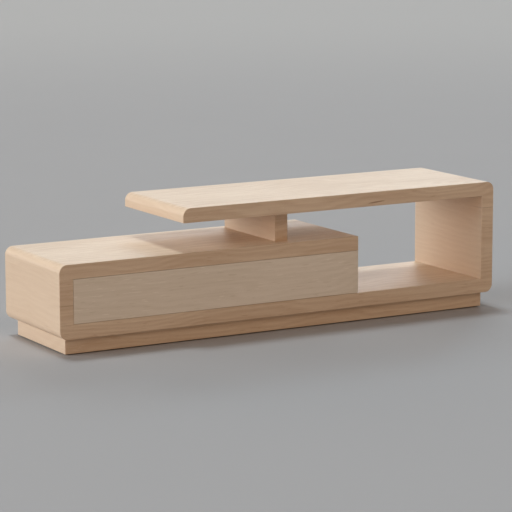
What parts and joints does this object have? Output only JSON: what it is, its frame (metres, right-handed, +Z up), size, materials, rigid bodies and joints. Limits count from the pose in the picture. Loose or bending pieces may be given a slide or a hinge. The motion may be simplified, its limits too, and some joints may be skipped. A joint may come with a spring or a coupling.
{
  "type": "tv stand",
  "caption": "Low stepped TV stand of thick round-cornered boards on a recessed plinth, with a push-open drawer on ball slides, an open bay and a raised, partly cantilevered shelf.",
  "frame": {"origin": "on the floor below the middle of the stand's length and depth", "axes": "+X along the stand to the right seen from the front, +Y to the back, +Z up"},
  "size_m": [1.8, 0.45, 0.478],
  "materials": {
    "carcass_wood": "clear matt lacquer on pale straight-grained wood",
    "drawer_front_wood": "clear matt lacquer on pale straight-grained wood, slightly greyer",
    "plinth_wood": "clear matt lacquer on pale wood",
    "drawer_box_wood": "lacquered birch",
    "panel_wood": "thin birch plywood",
    "rough_wood": "planed, not finished",
    "dowel_wood": "plain turned beech",
    "slide_steel": "zinc-plated sheet",
    "cage_steel": "thin bright strip",
    "ball_steel": "polished",
    "screw_steel": "zinc-plated",
    "strike_steel": "nickel-plated plate",
    "spring_steel": "bright drawn wire",
    "latch_plastic": "moulded grey plastic",
    "plunger_plastic": "moulded white plastic",
    "glide_nylon": "moulded brown nylon"
  },
  "bodies": {
    "carcass": {"back_panel_screws": "screw_steel", "base_panel": "carcass_wood", "cabinet_back_panel": "panel_wood", "cabinet_end_dowels": "dowel_wood", "cabinet_end_panel": "carcass_wood", "cabinet_top_panel": "carcass_wood", "floor_glides": "glide_nylon", "latch_screws": "screw_steel", "left_latch_housing": "latch_plastic", "left_latch_spring": "spring_steel", "left_side_dowels": "dowel_wood", "left_side_panel": "carcass_wood", "left_slide_cabinet_member": "slide_steel", "plinth_back_rail": "plinth_wood", "plinth_corner_blocks": "rough_wood", "plinth_cross_rail_1": "rough_wood", "plinth_cross_rail_2": "rough_wood", "plinth_front_rail": "plinth_wood", "plinth_left_rail": "plinth_wood", "plinth_right_rail": "plinth_wood", "plinth_screws": "screw_steel", "right_latch_housing": "latch_plastic", "right_latch_spring": "spring_steel", "right_side_dowels": "dowel_wood", "right_side_panel": "carcass_wood", "right_slide_cabinet_member": "slide_steel", "shelf_support": "carcass_wood", "shelf_support_dowels": "dowel_wood", "slide_cabinet_screws": "screw_steel", "top_shelf": "carcass_wood"},
    "drawer": {"drawer_back": "drawer_box_wood", "drawer_bottom_left": "panel_wood", "drawer_bottom_right": "panel_wood", "drawer_box_front": "drawer_box_wood", "drawer_front": "drawer_front_wood", "drawer_front_screws": "screw_steel", "drawer_left_side": "drawer_box_wood", "drawer_muntin": "drawer_box_wood", "drawer_right_side": "drawer_box_wood", "latch_strike_plates": "strike_steel", "left_slide_drawer_member": "slide_steel", "muntin_dowels": "dowel_wood", "right_slide_drawer_member": "slide_steel", "slide_drawer_screws": "screw_steel", "strike_plate_screws": "screw_steel"},
    "left_plunger": {"left_latch_plunger": "plunger_plastic"},
    "left_slide_inner_cage": {"left_slide_inner_ball_cages": "cage_steel", "left_slide_inner_balls": "ball_steel"},
    "left_slide_middle": {"left_slide_middle_member": "slide_steel"},
    "left_slide_outer_cage": {"left_slide_outer_ball_cages": "cage_steel", "left_slide_outer_balls": "ball_steel"},
    "right_plunger": {"right_latch_plunger": "plunger_plastic"},
    "right_slide_inner_cage": {"right_slide_inner_ball_cages": "cage_steel", "right_slide_inner_balls": "ball_steel"},
    "right_slide_middle": {"right_slide_middle_member": "slide_steel"},
    "right_slide_outer_cage": {"right_slide_outer_ball_cages": "cage_steel", "right_slide_outer_balls": "ball_steel"}
  },
  "joints": [
    {"name": "drawer_slide", "type": "slide", "parent": "carcass", "child": "drawer", "axis": [0, -1, 0], "range_m": [0, 0.35]},
    {"name": "left_slide_outer_cage_travel", "type": "slide", "parent": "carcass", "child": "left_slide_outer_cage", "axis": [0, -1, 0], "range_m": [0, 0.0875]},
    {"name": "left_slide_middle_travel", "type": "slide", "parent": "carcass", "child": "left_slide_middle", "axis": [0, -1, 0], "range_m": [0, 0.175]},
    {"name": "left_slide_inner_cage_travel", "type": "slide", "parent": "carcass", "child": "left_slide_inner_cage", "axis": [0, -1, 0], "range_m": [0, 0.2625]},
    {"name": "left_plunger_push", "type": "slide", "parent": "carcass", "child": "left_plunger", "axis": [0, 1, 0], "range_m": [0, 0.004], "stiffness_N_per_m": 500, "deforming": ["left_latch_spring"]},
    {"name": "right_slide_outer_cage_travel", "type": "slide", "parent": "carcass", "child": "right_slide_outer_cage", "axis": [0, -1, 0], "range_m": [0, 0.0875]},
    {"name": "right_slide_middle_travel", "type": "slide", "parent": "carcass", "child": "right_slide_middle", "axis": [0, -1, 0], "range_m": [0, 0.175]},
    {"name": "right_slide_inner_cage_travel", "type": "slide", "parent": "carcass", "child": "right_slide_inner_cage", "axis": [0, -1, 0], "range_m": [0, 0.2625]},
    {"name": "right_plunger_push", "type": "slide", "parent": "carcass", "child": "right_plunger", "axis": [0, 1, 0], "range_m": [0, 0.004], "stiffness_N_per_m": 500, "deforming": ["right_latch_spring"]}
  ],
  "couplings": [
    {"joint": "left_slide_outer_cage_travel", "follows": "drawer_slide", "ratio": 0.25},
    {"joint": "left_slide_middle_travel", "follows": "drawer_slide", "ratio": 0.5},
    {"joint": "left_slide_inner_cage_travel", "follows": "drawer_slide", "ratio": 0.75},
    {"joint": "right_slide_outer_cage_travel", "follows": "drawer_slide", "ratio": 0.25},
    {"joint": "right_slide_middle_travel", "follows": "drawer_slide", "ratio": 0.5},
    {"joint": "right_slide_inner_cage_travel", "follows": "drawer_slide", "ratio": 0.75}
  ]
}
